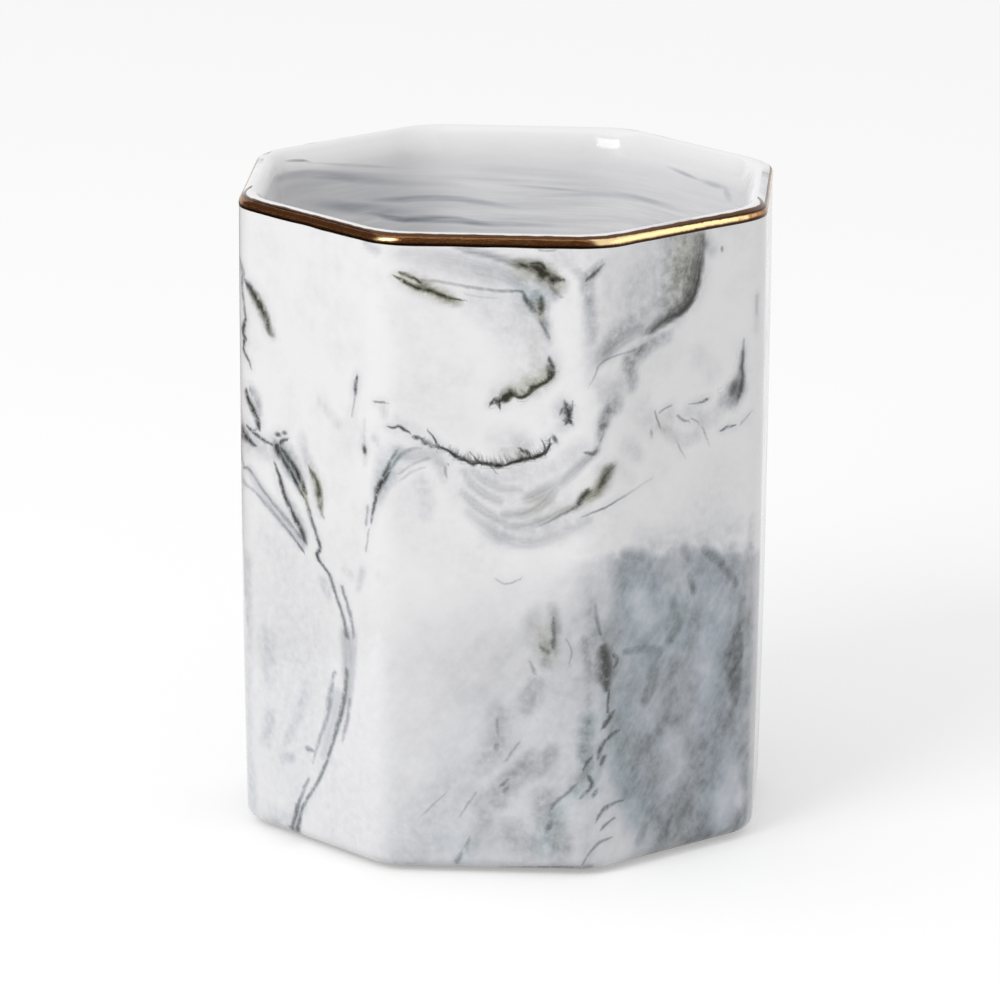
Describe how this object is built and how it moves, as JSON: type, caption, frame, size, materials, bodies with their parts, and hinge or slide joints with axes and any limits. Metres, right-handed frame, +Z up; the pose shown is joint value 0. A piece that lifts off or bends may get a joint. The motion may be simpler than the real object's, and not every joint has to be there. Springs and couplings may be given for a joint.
{
  "type": "makeup brush holder",
  "caption": "Octagonal ceramic tumbler for makeup brushes, with soft upright edges, a rolled lip with a gilded line, a foot ring and bumpers below.",
  "frame": {"origin": "on the table, under the middle of the tumbler", "axes": "+Z up along the tumbler's axis, -Y out of the side that faces the viewer, +X to that viewer's right"},
  "size_m": [0.08, 0.08, 0.0991],
  "materials": {
    "marbled_glaze": "glossy clear glaze over white and grey marbling",
    "gold_lustre": "polished gold lustre",
    "soft_bumper": "satin, off-white"
  },
  "bodies": {
    "root": {"cup_body": "marbled_glaze", "gilt_rim": "gold_lustre", "bumper_front_right": "soft_bumper", "bumper_back_right": "soft_bumper", "bumper_back_left": "soft_bumper", "bumper_front_left": "soft_bumper"}
  },
  "joints": []
}
